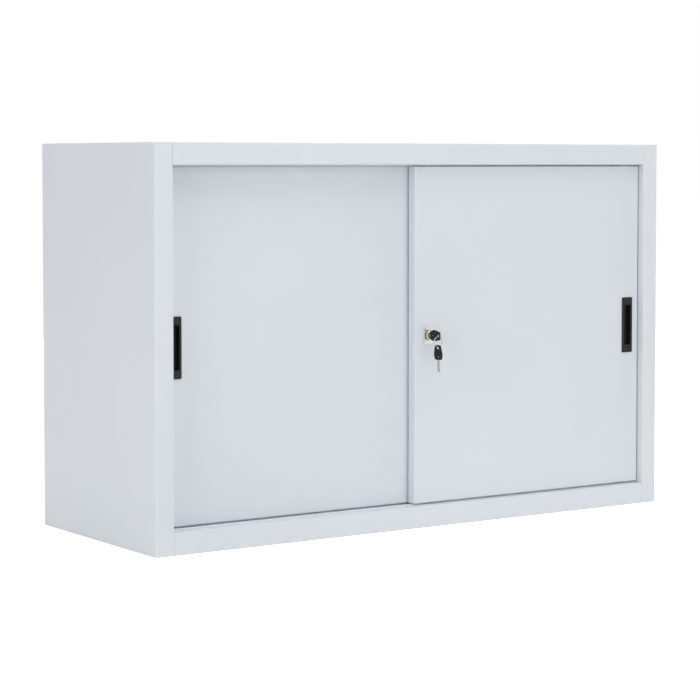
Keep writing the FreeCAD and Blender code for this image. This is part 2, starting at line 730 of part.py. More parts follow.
def lock_nut():
    """Hexagon nut on the case that clamps the lock from inside the door."""
    corner = NUT_FLAT / math.cos(math.pi / 6)
    corners = [(corner * math.cos(math.pi / 3 * i), corner * math.sin(math.pi / 3 * i))
               for i in range(6)]
    nut = along_y(sharp_outline(corners, in_front), SHEET, SHEET + NUT_THICK)
    nut = nut.cut(rod(CASE_RADIUS, vec(0, 0, 0), vec(0, 2 * NUT_THICK, 0)))
    return nut.translated(vec(LOCK_X, FRONT_DOOR_Y, LOCK_Z))


def lock_barrel():
    """Plunger: a round barrel with the bolt on its back, bored for plug and blade."""
    nose = -BARREL_FRONT
    tail = nose + BARREL_LENGTH
    plug_floor = nose + PLUG_LENGTH + 0.2
    blade_end = BLADE_LENGTH - BOW_FRONT + 0.6
    plug_bore = PLUG_RADIUS + RUNNING
    return turned([(plug_bore, nose), (BARREL_RADIUS - BARREL_CHAMFER, nose),
                   (BARREL_RADIUS, nose + BARREL_CHAMFER), (BARREL_RADIUS, tail),
                   (BOLT_RADIUS, tail), (BOLT_RADIUS, BOLT_TIP), (0, BOLT_TIP), (0, blade_end),
                   (BLADE_ROOM, blade_end), (BLADE_ROOM, plug_floor), (plug_bore, plug_floor)])


def lock_plug():
    """Turning core with the upright keyway."""
    nose = -BARREL_FRONT
    plug = turned([(0, nose), (PLUG_RADIUS, nose), (PLUG_RADIUS, nose + PLUG_LENGTH),
                   (0, nose + PLUG_LENGTH)])
    half = BLADE_THICK / 2 + BLADE_PLAY
    tall = BLADE_HALF + BLADE_PLAY
    keyway = block((LOCK_X - half, LOCK_X + half),
                   (FRONT_DOOR_Y + nose - 1, FRONT_DOOR_Y + nose + PLUG_LENGTH + 1),
                   (LOCK_Z - tall, LOCK_Z + tall))
    return plug.cut(keyway)


def lock_spring():
    """Square-wire spring between the barrel's shoulder and the floor of the case."""
    room = SPRING_WIRE + SPRING_PLAY
    start = BARREL_LENGTH - BARREL_FRONT + room
    rise = (CASE_FLOOR - room - start) / (SPRING_TURNS * SPRING_STEPS)
    half = SPRING_WIRE
    corners = [(-half, -half), (half, -half), (half, half), (-half, half), (-half, -half)]
    sections = []
    for i in range(SPRING_TURNS * SPRING_STEPS + 1):
        angle = 2 * math.pi * i / SPRING_STEPS
        outward = vec(math.cos(angle), 0, math.sin(angle))
        centre = outward * SPRING_RADIUS + vec(0, start + rise * i, 0)
        sections.append(Part.makePolygon([centre + outward * u + vec(0, v, 0)
                                          for u, v in corners]))
    coil = Part.makeLoft(sections, True, True)
    return coil.translated(vec(LOCK_X, FRONT_DOOR_Y, LOCK_Z))


# ================================================================ keys

def across(thickness, face):
    """Extrude a face drawn in the YZ plane, centred on x = 0."""
    return face.extrude(vec(thickness, 0, 0)).translated(vec(-thickness / 2, 0, 0))


def key_place(p):
    """Key outline: u runs from the bow's inner end up to its outer end, v across."""
    return vec(0, p.y, p.x - RING_HOLE)


def key_blade():
    """Steel blade with five cuts and a pointed tip; the ring hole is the origin."""
    tip = -BLADE_LENGTH
    corners = [(TANG, -BLADE_HALF), (TANG, BLADE_HALF), (tip + TIP_LENGTH, BLADE_HALF),
               (tip, BLADE_HALF / 5), (tip + TIP_LENGTH, -BLADE_HALF)]
    for i, depth in enumerate(CUT_DEPTHS):
        middle = tip + CUT_START + CUT_PITCH * i
        floor = -BLADE_HALF + depth
        corners += [(middle - CUT_FLAT - depth, -BLADE_HALF), (middle - CUT_FLAT, floor),
                    (middle + CUT_FLAT, floor), (middle + CUT_FLAT + depth, -BLADE_HALF)]
    blade = across(BLADE_THICK, sharp_outline(corners, key_place))
    for side in (-1, 1):
        wall = side * BLADE_THICK / 2
        blade = blade.cut(block((wall, wall - side * BLADE_GROOVE), BLADE_GROOVE_V,
                                (tip - RING_HOLE - 1, -RING_HOLE - 1)))
    return blade


def key_bow():
    """Moulded plastic head with ring hole, tang pocket and a round window."""
    corners = [(u, v) for u, v, radius in BOW_SHAPE]
    radii = [radius for u, v, radius in BOW_SHAPE]
    bow = across(BOW_THICK, outline(corners, radii, key_place))
    reach = vec(BOW_THICK, 0, 0)
    window = vec(0, 0, WINDOW_U - RING_HOLE)
    cutters = [rod(RING_HOLE_RADIUS, -reach, reach),
               rod(WINDOW_RADIUS, window - reach, window + reach),
               block((-BLADE_THICK / 2, BLADE_THICK / 2), (-BLADE_HALF, BLADE_HALF),
                     (-RING_HOLE - 1, TANG - RING_HOLE))]
    return bow.cut(cutters)


def in_lock(shape):
    """Lay a key along the lock's axis with its ring hole outermost."""
    return shape.rotated(vec(0, 0, 0), vec(1, 0, 0), 90).translated(vec(LOCK_X, RING_Y, LOCK_Z))


def on_ring(shape):
    """Hang a key from the bottom of the ring."""
    turned_key = shape.rotated(vec(0, 0, 0), vec(0, 0, 1), SPARE_YAW)
    leaning = turned_key.rotated(vec(0, 0, 0), vec(0, 1, 0), -SPARE_LEAN)
    return leaning.translated(vec(LOCK_X - 2 * RING_ASIDE, RING_Y, RING_BOTTOM - RING_HANG))


def key_ring():
    """Ring of flat wire in an upright plane across both keys, in straight lengths."""
    step = 2 * math.pi / RING_LENGTHS

    def disc(radius):
        corners = [(radius * math.cos(step * (i + 0.5)), radius * math.sin(step * (i + 0.5)))
                   for i in range(RING_LENGTHS)]
        return along_y(sharp_outline(corners, in_front), -RING_WIRE, RING_WIRE)

    ring = disc(RING_RADIUS + RING_WIRE).cut(disc(RING_RADIUS - RING_WIRE))
    return ring.translated(vec(LOCK_X - RING_ASIDE, RING_Y, RING_TOP - RING_RADIUS))


# ================================================================ assembly

def carcass_nodes():
    nodes = {
        "top_panel": top_panel(),
        "bottom_panel": bottom_panel(),
        "back_panel": back_panel(),
        "base_stiffener": base_stiffener(),
        "top_stiffener": hanging_hat(TOP_HAT, TOP_HAT_HALF, TOP_HAT_Y, SKIN_BOTTOM),
        "top_track": top_track(),
        "bottom_track": bottom_track(),
        "track_end_stops": track_end_stops(),
        "shelf_clips": shelf_clips(),
    }
    paired = {
        "side_panel": side_panel(),
        "floor_runner": floor_runner(),
        "upper_channel": upper_channel(),
        "front_shelf_upright": shelf_upright(UPRIGHT_Y[0]),
        "rear_shelf_upright": shelf_upright(UPRIGHT_Y[1]),
    }
    for name, shape in paired.items():
        nodes["left_" + name] = shape
        nodes["right_" + name] = mirrored(shape)
    return nodes


def shelf_nodes():
    middle = (SHELF_FRONT + SHELF_BACK) / 2
    return {
        "shelf_board": shelf_board(),
        "shelf_stiffener": hanging_hat(SHELF_HAT, SHELF_HAT_HALF, middle, SHELF_TOP - SHEET),
    }


def door_nodes(name, door_x, face_y, handle_x):
    nodes = {
        name + "_panel": door_panel(door_x, face_y, handle_x),
        name + "_stiffeners": door_stiffeners(door_x, face_y),
        name + "_handle": recessed_handle(handle_x, face_y),
        name + "_wheel_housings": wheel_housings(door_x, face_y),
        name + "_wheel_axles": wheel_axles(door_x, face_y),
        name + "_top_guides": top_guides(door_x, face_y),
    }
    for side, x in zip(("left", "right"), wheel_places(door_x)):
        nodes[name + "_" + side + "_wheel"] = door_wheel(x, face_y)
    return nodes


def lock_nodes():
    return {
        "lock_case": lock_case(),
        "lock_nut": lock_nut(),
        "lock_barrel": lock_barrel(),
        "lock_plug": lock_plug(),
        "lock_spring": lock_spring(),
        "key_blade": in_lock(key_blade()),
        "key_bow": in_lock(key_bow()),
        "key_ring": key_ring(),
        "spare_key_blade": on_ring(key_blade()),
        "spare_key_bow": on_ring(key_bow()),
    }


def build():
    nodes = carcass_nodes()
    nodes.update(shelf_nodes())
    nodes.update(door_nodes("front_door", FRONT_DOOR_X, FRONT_DOOR_Y, FRONT_HANDLE_X))
    nodes.update(door_nodes("rear_door", REAR_DOOR_X, REAR_DOOR_Y, REAR_HANDLE_X))
    nodes["front_door_panel"] = nodes["front_door_panel"].cut(lock_hole())
    nodes.update(lock_nodes())
    return nodes


def main():
    os.makedirs("parts", exist_ok=True)
    for name, shape in build().items():
        for solid in shape.Solids:
            if not solid.isValid() or solid.Volume <= 0:
                raise ValueError(name + " holds an invalid solid")
        shape.exportStep("parts/" + name + ".step")
        box = shape.BoundBox
        print(f"{name:28s} solids {len(shape.Solids)}  volume {shape.Volume / 1000:9.2f} cm3"
              f"  x {box.XMin:.1f}..{box.XMax:.1f} y {box.YMin:.1f}..{box.YMax:.1f}"
              f" z {box.ZMin:.1f}..{box.ZMax:.1f}")


main()
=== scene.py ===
import bmesh
import bpy
import json
import math
from mathutils import Matrix, Vector

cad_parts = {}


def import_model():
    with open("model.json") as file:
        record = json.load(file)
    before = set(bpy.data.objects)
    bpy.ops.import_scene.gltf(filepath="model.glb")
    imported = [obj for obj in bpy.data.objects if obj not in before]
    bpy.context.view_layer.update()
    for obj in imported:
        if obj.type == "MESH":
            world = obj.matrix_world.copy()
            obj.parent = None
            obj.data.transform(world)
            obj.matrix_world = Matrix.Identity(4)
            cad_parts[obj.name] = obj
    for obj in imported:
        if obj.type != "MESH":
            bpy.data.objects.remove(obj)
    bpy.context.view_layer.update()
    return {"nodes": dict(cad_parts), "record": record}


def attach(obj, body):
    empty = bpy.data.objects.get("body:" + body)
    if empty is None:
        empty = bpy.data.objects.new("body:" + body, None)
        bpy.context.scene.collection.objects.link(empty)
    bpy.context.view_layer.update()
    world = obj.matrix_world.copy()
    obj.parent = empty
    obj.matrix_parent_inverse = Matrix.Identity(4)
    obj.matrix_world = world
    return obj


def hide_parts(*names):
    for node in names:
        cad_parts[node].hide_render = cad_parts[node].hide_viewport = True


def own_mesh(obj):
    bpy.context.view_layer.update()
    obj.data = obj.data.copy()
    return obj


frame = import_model()

MM = 0.001

# ---------------------------------------------------------------- camera
CAMERA_PLACE = (-2.5442, -3.7132, 0.7149)
CAMERA_TILT = 87.3845      # degrees from straight down
CAMERA_TURN = -34.1577
CAMERA_LENS = 114.24
CAMERA_SENSOR = 36.0
CAMERA_SHIFT_Y = -0.1241
CAMERA_REACH = 100.0       # metres

# ---------------------------------------------------------------- light
WHITE = (1.0, 1.0, 1.0, 1.0)
BACKDROP = 1.0             # what the camera and reflections see, 1 is white
DOME = 0.25                # light from all round
DOME_COLOR = (0.97, 0.985, 1.0, 1.0)
FLOOR_GLOW = 0.79          # for the camera and reflections only
FLOOR_HALF = 30.0          # metres
FLOOR_COLOR = (0.9, 0.9, 0.9, 1.0)
SOFTBOXES = [              # name, place, aimed at, width and height in metres, watts
    ("front_softbox", (0.1, -4.2, 1.5), (0.0, -0.2, 0.3), (3.2, 2.5), 46.8),
    ("left_softbox", (-4.5, -1.1, 1.0), (-0.6, 0.0, 0.3), (3.0, 1.6), 66.0),
    ("top_softbox", (0.2, -1.3, 4.2), (0.0, 0.0, 0.4), (3.4, 3.4), 90.0),
    ("right_softbox", (4.5, -0.2, 1.0), (0.6, 0.0, 0.3), (3.0, 1.6), 60.0),
    ("rear_softbox", (0.3, 4.2, 1.4), (0.0, 0.2, 0.35), (3.0, 1.6), 80.0),
]

MIRRORED = ("front_softbox", "top_softbox")    # the lamps that show in reflections

# ---------------------------------------------------------------- places, millimetres
DECK = 42.0
DECK_SCREW_X = 587.1
SCREWS_Y = (-90.0, 140.0)  # of the deck and of the upper side channels
DECK_SCREWS = [(x, y) for x in (-DECK_SCREW_X, DECK_SCREW_X) for y in SCREWS_Y]
CHANNEL_WALL = 589.2       # inner face of the upper side channels
CHANNEL_SCREW_Z = 734.0
TRACK_STRIP = 43.0         # top of the lower track between its ribs
TRACK_RIVETS_X = (-540.0, -360.0, -180.0, 0.0, 180.0, 360.0, 540.0)
TRACK_RIVETS_Y = -188.25
DOOR_BACKS = {"front_door": -190.0, "rear_door": -166.5}
DOOR_LEFTS = {"front_door": -15.0, "rear_door": -561.5}
DOOR_WIDTH = 575.0
WHEEL_INSET = 52.0         # middles of wheels and guides from the door's edges
GUIDE_INSET = 33.0
SCREW_PAIR = 18.0          # screws stand this far each side of a wheel or guide
HOUSING_SCREW_Z = 52.0
GUIDE_SCREW_Z = 700.0
BACK = 225.0
WELD_COLUMN = 589.6        # middle of the side panels' rear flanges
WELDS_Z = [60.0 + 70.0 * i for i in range(10)]
WELDS_X = [-520.0 + 104.0 * i for i in range(11)]
WELD_ROWS_Z = (21.5, 739.0)
FRONT = -225.0
SEAM_MIDDLE = 561.8        # between an upright and the rail or plinth
SEAM_SPANS = ((1.0, 40.5), (710.5, 748.5))
SEAM_SECTION = [           # across the seam, behind the front
    (-0.21, 0.9), (-0.21, 0.22), (-0.12, 0.15), (0.0, 0.12), (0.12, 0.15), (0.21, 0.22),
    (0.21, 0.9)]
LOCK = (18.5, -210.0, 376.0)   # the lock's axis in the door's face
PLATE_FACE = -212.0        # front of the lock's plate
RING_HOLE = 23.2           # from a bow's inner end
RING_HOLE_RADIUS = 3.0
WINDOW = 5.4               # from a bow's inner end
WINDOW_RADIUS = 1.7
BORE_ROOM = 0.1            # the bore in a tang round the window
CUTTER_HALF = 3.0          # half length of the cutters through a key
BLADE_EDGE = 0.08          # broken edges of a blade
PULL_EDGE = 0.3            # mould radius of a pull
KEY_HOLE = (18.5, -242.5, 376.0)
SPARE_HOLE = (17.5, -242.5, 352.7)
SPARE_TURN = 8.0           # degrees about Z
SPARE_LEAN = -4.0          # degrees about Y
BOW_CORNERS = [            # u from the inner end, v across, corner radius
    (0.0, -9.0, 3.0), (0.0, 9.0, 3.0), (10.0, 11.2, 8.0), (29.0, 7.4, 4.0),
    (29.0, -7.4, 4.0), (10.0, -11.2, 8.0)]
BOW_SECTION = [            # inset from the outline, height above the bow's middle
    (2.6, -1.15), (2.2, -1.4), (0.55, -1.4), (0.16, -1.24), (0.0, -0.85),
    (0.0, 0.85), (0.16, 1.24), (0.55, 1.4), (2.2, 1.4), (2.6, 1.15)]
RING_CENTRE = (18.0, -242.5, 364.35)
RING_RADIUS = 9.85
RING_WIRE = 0.52           # half the wire's thickness
RING_COIL_STEP = 0.54      # each coil's middle from the ring's own plane
RING_TURNS = 1.96
RING_START = 200.0         # degrees
RING_JOG = 0.07            # half the step from one coil to the other, in turns
SPRING_FOOT = -195.0       # inside of the lock case's back wall
SPRING_LENGTH = 11.0       # from there to the barrel's shoulder
SPRING_RADIUS = 6.5
SPRING_WIRE = 0.4          # half the wire's thickness
SPRING_GAP = 0.03
SPRING_TURNS = 4.6
SPRING_DEAD = 0.8          # closed turns at each end

# ---------------------------------------------------------------- turned profiles: radius, height
SCREW_HEAD = [(0, 1.65), (1.5, 1.6), (2.6, 1.4), (3.3, 1.0), (3.6, 0.55), (3.6, 0.0), (0, 0.0)]
SCREW_CROSS = (2.1, 0.45, 0.6, 2.0, 0.8)     # half length, half width, low, high, taper
RIVET_HEAD = [
    (0, 0.25), (0.75, 0.25), (0.85, 0.72), (1.4, 0.75), (2.2, 0.55), (2.9, 0.15),
    (3.0, 0.0), (0, 0.0)]
WELD_DISH = [
    (0, 0.02), (1.7, 0.03), (2.2, 0.08), (2.7, 0.12), (3.2, 0.07), (3.7, 0.0), (0, 0.0)]
# dark rubber ring at the barrel's base, partly a real seal and partly painted shade for the
# shadow there
SEAL_AND_SHADE_SECTION = [(9.07, 0.0), (9.9, 0.0), (9.85, 0.4), (9.6, 0.55), (9.15, 0.5)]

# ---------------------------------------------------------------- mesh steps
COIL_STEPS = 96            # round one turn of a coil
WIRE_SIDES = 12
CORNER_STEPS = 7           # round one corner of a key head
NOISE_BAND = (0.3, 0.7)    # where a noise texture mostly lies
BAR_FACES = (
    (3, 2, 1, 0), (4, 5, 6, 7), (0, 1, 5, 4), (1, 2, 6, 5), (2, 3, 7, 6), (3, 0, 4, 7))


def srgb(red, green, blue):
    """Scene-linear colour from 0..255 display values."""
    def linear(value):
        share = value / 255
        return share / 12.92 if share <= 0.04045 else ((share + 0.055) / 1.055) ** 2.4
    return (linear(red), linear(green), linear(blue), 1.0)


# ================================================================ materials

class Finish:
    """A procedural material in the object's own coordinates, in metres."""

    def __init__(self, name, color, roughness, metallic=0.0):
        self.material = bpy.data.materials.new(name)
        self.material.use_nodes = True
        self.material.diffuse_color = color
        self.tree = self.material.node_tree
        self.tree.nodes.clear()
        output = self.tree.nodes.new("ShaderNodeOutputMaterial")
        self.shader = self.tree.nodes.new("ShaderNodeBsdfPrincipled")
        self.join(self.shader.outputs["BSDF"], output.inputs["Surface"])
        self.shader.inputs["Base Color"].default_value = color
        self.shader.inputs["Roughness"].default_value = roughness
        self.shader.inputs["Metallic"].default_value = metallic
        self.color = color
        self.normal = None
        self.place = self.tree.nodes.new("ShaderNodeTexCoord").outputs["Object"]

    def join(self, source, target):
        self.tree.links.new(source, target)

    def mapped(self, stretch, centre=(0, 0, 0)):
        """Coordinates stretched along the axes, from a centre."""
        mapping = self.tree.nodes.new("ShaderNodeMapping")
        mapping.inputs["Scale"].default_value = stretch
        mapping.inputs["Location"].default_value = [-c * s for c, s in zip(centre, stretch)]
        self.join(self.place, mapping.inputs["Vector"])
        return mapping.outputs["Vector"]

    def noise(self, scale, detail=2.0, stretch=(1, 1, 1)):
        texture = self.tree.nodes.new("ShaderNodeTexNoise")
        texture.inputs["Scale"].default_value = scale
        texture.inputs["Detail"].default_value = detail
        self.join(self.mapped(stretch), texture.inputs["Vector"])
        return texture.outputs["Fac"]

    def rings(self, scale, centre):
        """Turned lines about an axis along Y through centre."""
        texture = self.tree.nodes.new("ShaderNodeTexWave")
        texture.wave_type = "RINGS"
        texture.rings_direction = "Y"
        texture.inputs["Scale"].default_value = scale
        texture.inputs["Distortion"].default_value = 0.6
        self.join(self.mapped((1, 1, 1), centre), texture.inputs["Vector"])
        return texture.outputs["Fac"]

    def ranged(self, value, low, high):
        """A texture's value spread from low to high."""
        node = self.tree.nodes.new("ShaderNodeMapRange")
        node.inputs["From Min"].default_value = NOISE_BAND[0]
        node.inputs["From Max"].default_value = NOISE_BAND[1]
        node.inputs["To Min"].default_value = low
        node.inputs["To Max"].default_value = high
        self.join(value, node.inputs["Value"])
        return node.outputs["Result"]

    def tint(self, value, other):
        """The colour drifts to another one with value."""
        mix = self.tree.nodes.new("ShaderNodeMix")
        mix.data_type = "RGBA"
        mix.inputs["A"].default_value = self.color
        mix.inputs["B"].default_value = other
        self.join(self.ranged(value, 0.0, 1.0), mix.inputs["Factor"])
        self.join(mix.outputs["Result"], self.shader.inputs["Base Color"])
        return self

    def rough(self, value, low, high):
        self.join(self.ranged(value, low, high), self.shader.inputs["Roughness"])
        return self

    def bump(self, value, height):
        node = self.tree.nodes.new("ShaderNodeBump")
        node.inputs["Strength"].default_value = 1.0
        node.inputs["Distance"].default_value = height
        self.join(value, node.inputs["Height"])
        if self.normal is not None:
            self.join(self.normal, node.inputs["Normal"])
        self.normal = node.outputs["Normal"]
        self.join(self.normal, self.shader.inputs["Normal"])
        return self


def powder_coat():
    """Pale grey powder paint: fine orange peel, and sheet that is never quite flat."""
    finish = Finish("powder_coat", srgb(214.5, 219.3, 224.5), 0.42)
    finish.tint(finish.noise(2.6, 3), srgb(217.5, 222, 226.5))
    finish.rough(finish.noise(18, 3), 0.38, 0.46)
    finish.bump(finish.noise(2.2, 1), 0.0012)
    finish.bump(finish.noise(620, 2), 0.00002)
    return finish


def moulded_black(name, color, lighter, grain):
    """Black moulded plastic with a spark-eroded grain and slightly uneven gloss."""
    finish = Finish(name, color, 0.5)
    finish.shader.inputs["Specular IOR Level"].default_value = 0.3
    finish.tint(finish.noise(160, 3), lighter)
    finish.rough(finish.noise(90, 3), 0.42, 0.58)
    finish.bump(finish.noise(grain, 2), 0.00004)
    return finish


def nylon():
    finish = Finish("nylon", srgb(226, 225, 218), 0.5)
    finish.tint(finish.noise(60, 3), srgb(214, 212, 203))
    finish.rough(finish.noise(140, 2), 0.42, 0.58)
    finish.bump(finish.noise(900, 1), 0.00002)
    return finish


def zinc_steel():
    """Bright zinc: spangled tone and a faint warm and blue passivation."""
    finish = Finish("zinc_steel", srgb(186, 191, 198), 0.34, 1.0)
    finish.tint(finish.noise(45, 3), srgb(202, 199, 186))
    finish.rough(finish.noise(120, 3), 0.26, 0.42)
    finish.bump(finish.noise(500, 2), 0.00002)
    return finish


def rubber():
    finish = Finish("rubber", srgb(42, 42, 43), 0.8)
    finish.tint(finish.noise(200, 3), srgb(58, 57, 56))
    finish.rough(finish.noise(70, 2), 0.72, 0.88)
    finish.bump(finish.noise(800, 3), 0.00006)
    return finish


def lock_chrome():
    """Bright nickel plate with hairline handling marks."""
    finish = Finish("lock_chrome", srgb(199, 198, 191), 0.26, 1.0)
    finish.tint(finish.noise(70, 2), srgb(190, 190, 184))
    finish.rough(finish.noise(1, 4, (300, 300, 1500)), 0.2, 0.32)
    finish.bump(finish.noise(1, 3, (900, 900, 150)), 0.000008)
    return finish


def lock_core():
    """Nickel plug face with fine turned rings about the lock's axis."""
    centre = [value * MM for value in LOCK]
    finish = Finish("lock_core", srgb(206, 203, 192), 0.42, 1.0)
    finish.tint(finish.noise(220, 3), srgb(190, 186, 172))
    finish.rough(finish.noise(300, 3), 0.36, 0.5)
    finish.bump(finish.rings(900, centre), 0.00002)
    return finish


def spring_steel():
    finish = Finish("spring_steel", srgb(178, 181, 185), 0.3, 1.0)
    finish.tint(finish.noise(300, 3), srgb(150, 152, 156))
    finish.rough(finish.noise(400, 2), 0.22, 0.38)
    finish.bump(finish.noise(1500, 2), 0.00001)
    return finish


def key_steel():
    """Nickelled blade, ground along its length."""
    finish = Finish("key_steel", srgb(200, 202, 203), 0.3, 1.0)
    finish.tint(finish.noise(120, 3), srgb(180, 181, 181))
    finish.rough(finish.noise(1, 3, (1200, 120, 500)), 0.24, 0.38)
    finish.bump(finish.noise(1, 3, (2500, 150, 900)), 0.00001)
    return finish


def ring_steel():
    finish = Finish("ring_steel", srgb(188, 189, 190), 0.26, 1.0)
    finish.tint(finish.noise(260, 3), srgb(168, 169, 171))
    finish.rough(finish.noise(500, 3), 0.2, 0.34)
    finish.bump(finish.noise(2000, 2), 0.000006)
    return finish


def rivet_aluminium():
    finish = Finish("rivet_aluminium", srgb(206, 208, 211), 0.34, 1.0)
    finish.tint(finish.noise(300, 3), srgb(190, 192, 196))
    finish.rough(finish.noise(500, 2), 0.28, 0.42)
    finish.bump(finish.noise(900, 2), 0.00001)
    return finish


FINISHES = {
    "powder_coat": powder_coat(),
    "handle_plastic": moulded_black("handle_plastic", srgb(15, 16, 19), srgb(20, 21, 24), 1100),
    "key_plastic": moulded_black("key_plastic", srgb(15, 15, 17), srgb(21, 20, 21), 1500),
    "nylon": nylon(),
    "zinc_steel": zinc_steel(),
    "rubber": rubber(),
    "lock_chrome": lock_chrome(),
    "lock_core": lock_core(),
    "spring_steel": spring_steel(),
    "key_steel": key_steel(),
    "ring_steel": ring_steel(),
    "rivet_aluminium": rivet_aluminium(),
}


def paint_cad_nodes():
    """Each CAD node takes the finish of its slot in the record."""
    for part in frame["record"]["subparts"]:
        obj = frame["nodes"][part["node"]]
        for slot in obj.material_slots:
            slot.material = FINISHES[part["material_slot"]].material


# ================================================================ small pieces

def finished(build, name):
    """The mesh of what was built."""
    mesh = bpy.data.meshes.new(name)
    build.to_mesh(mesh)
    build.free()
    return mesh


def closed_mesh(build, name):
    """The mesh of a solid, with its faces turned outwards."""
    bmesh.ops.recalc_face_normals(build, faces=build.faces)
    return finished(build, name)


def band(build, here, there):
    """Faces between two loops of equally many points."""
    for k in range(len(here)):
        after = (k + 1) % len(here)
        build.faces.new((here[k], here[after], there[after], there[k]))


def smooth(mesh, degrees=35.0):
    """Smooth shading up to an angle between faces."""
    mesh.shade_smooth()
    mesh.set_sharp_from_angle(angle=math.radians(degrees))
    return mesh


def piece(name, mesh, body, slot):
    """A shown piece that rides on a body in the finish of a slot."""
    mesh.materials.append(FINISHES[slot].material)
    obj = bpy.data.objects.new(name, mesh)
    bpy.context.scene.collection.objects.link(obj)
    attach(obj, body)
    return obj


def lathe(profile, segments):
    """Solid turned about Z; profile is (radius, z) in millimetres.

    It runs from the axis back to the axis, or goes round a ring that clears the axis.
    """
    build = bmesh.new()
    rings = []
    for radius, height in profile:
        if radius == 0:
            rings.append([build.verts.new((0, 0, height * MM))])
            continue
        ring = []
        for i in range(segments):
            angle = 2 * math.pi * i / segments
            ring.append(build.verts.new((radius * MM * math.cos(angle),
                                         radius * MM * math.sin(angle), height * MM)))
        rings.append(ring)
    bands = list(zip(rings, rings[1:]))
    if profile[0][0] > 0:
        bands.append((rings[-1], rings[0]))
    for inner, outer in bands:
        for i in range(segments):
            after = (i + 1) % segments
            if len(inner) == 1:
                build.faces.new((inner[0], outer[i], outer[after]))
            elif len(outer) == 1:
                build.faces.new((inner[i], outer[0], inner[after]))
            else:
                build.faces.new((inner[i], outer[i], outer[after], inner[after]))
    return closed_mesh(build, "turned")


def tapered_bar(half_length, half_width, low, high, taper):
    """A bar across the Z axis that narrows downwards, in millimetres."""
    build = bmesh.new()
    corners = []
    for height, share in ((low, taper), (high, 1.0)):
        for u, v in ((-1, -1), (1, -1), (1, 1), (-1, 1)):
            corners.append(build.verts.new((u * half_length * share * MM,
                                            v * half_width * share * MM, height * MM)))
    for face in BAR_FACES:
        build.faces.new([corners[i] for i in face])
    return finished(build, "bar")


def cut(mesh, cutters):
    """The mesh with the cutters taken away."""
    scene = bpy.context.scene.collection
    body = bpy.data.objects.new("body", mesh)
    scene.objects.link(body)
    tools = []
    for cutter in cutters:
        tool = bpy.data.objects.new("tool", cutter)
        scene.objects.link(tool)
        tools.append(tool)
        modifier = body.modifiers.new("cut", "BOOLEAN")
        modifier.operation = "DIFFERENCE"
        modifier.solver = "EXACT"
        modifier.object = tool
    graph = bpy.context.evaluated_depsgraph_get()
    result = bpy.data.meshes.new_from_object(body.evaluated_get(graph))
    for obj in [body] + tools:
        bpy.data.objects.remove(obj)
    return result


def pan_head():
    """Pan-head screw seen from outside, with a cross recess."""
    head = lathe(SCREW_HEAD, 40)
    cross = tapered_bar(*SCREW_CROSS)
    other = cross.copy()
    other.transform(Matrix.Rotation(math.pi / 2, 4, "Z"))
    return smooth(cut(head, [cross, other]), 30.0)


def rivet_head():
    """Low domed rivet with the mandrel's hole."""
    return smooth(lathe(RIVET_HEAD, 36), 50.0)


def weld_mark():
    """Painted-over spot weld: a shallow dish with a soft raised edge."""
    return smooth(lathe(WELD_DISH, 32), 60.0)


def scattered(name, template, places, body, slot):
    """Copies of a template at many places, as one piece."""
    build = bmesh.new()
    for place in places:
        copy = template.copy()
        copy.transform(place)
        build.from_mesh(copy)
        bpy.data.meshes.remove(copy)
    return piece(name, finished(build, name), body, slot)


def facing(direction, x, y, z, turn=0.0):
    """Place of a template whose Z axis is to point along direction, in millimetres."""
    aim = Vector(direction).to_track_quat("Z", "Y").to_matrix().to_4x4()
    spin = Matrix.Rotation(math.radians(turn), 4, "Z")
    return Matrix.Translation((x * MM, y * MM, z * MM)) @ aim @ spin


def fasteners():
    """Screws, rivets and weld marks; each screw is turned its own way."""
    screw = pan_head()
    deck = [facing((0, 0, 1), x, y, DECK, 25 + 40 * i) for i, (x, y) in enumerate(DECK_SCREWS)]
    scattered("deck_screws", screw, deck, "cabinet", "zinc_steel")
    channel = []
    for side in (-1, 1):
        for i, y in enumerate(SCREWS_Y):
            channel.append(facing((-side, 0, 0), side * CHANNEL_WALL, y, CHANNEL_SCREW_Z,
                                  15 + 50 * i))
    scattered("channel_screws", screw, channel, "cabinet", "zinc_steel")
    for door, back in DOOR_BACKS.items():
        left = DOOR_LEFTS[door]
        places = []
        for inset, z in ((WHEEL_INSET, HOUSING_SCREW_Z), (GUIDE_INSET, GUIDE_SCREW_Z)):
            for middle in (left + inset, left + DOOR_WIDTH - inset):
                for side in (-1, 1):
                    places.append(facing((0, 1, 0), middle + side * SCREW_PAIR, back, z,
                                         20 + 35 * len(places)))
        scattered(door + "_screws", screw, places, door, "zinc_steel")
    rivets = [facing((0, 0, 1), x, TRACK_RIVETS_Y, TRACK_STRIP) for x in TRACK_RIVETS_X]
    scattered("track_rivets", rivet_head(), rivets, "cabinet", "rivet_aluminium")
    welds = [facing((0, 1, 0), side * WELD_COLUMN, BACK, z) for side in (-1, 1) for z in WELDS_Z]
    welds += [facing((0, 1, 0), x, BACK, z) for x in WELDS_X for z in WELD_ROWS_Z]
    scattered("weld_marks", weld_mark(), welds, "cabinet", "powder_coat")


def dressed_seams():
    """Filled and painted joints between the uprights and the rail and plinth."""
    build = bmesh.new()
    for side in (-1, 1):
        for low, high in SEAM_SPANS:
            ends = []
            for z in (low, high):
                ends.append([build.verts.new(((side * SEAM_MIDDLE + u) * MM, (FRONT + depth) * MM,
                                              z * MM)) for u, depth in SEAM_SECTION])
            foot, head = ends
            band(build, foot, head)
            build.faces.new(foot[::-1])
            build.faces.new(head)
    mesh = closed_mesh(build, "seams")
    piece("dressed_seams", smooth(mesh), "cabinet", "powder_coat")


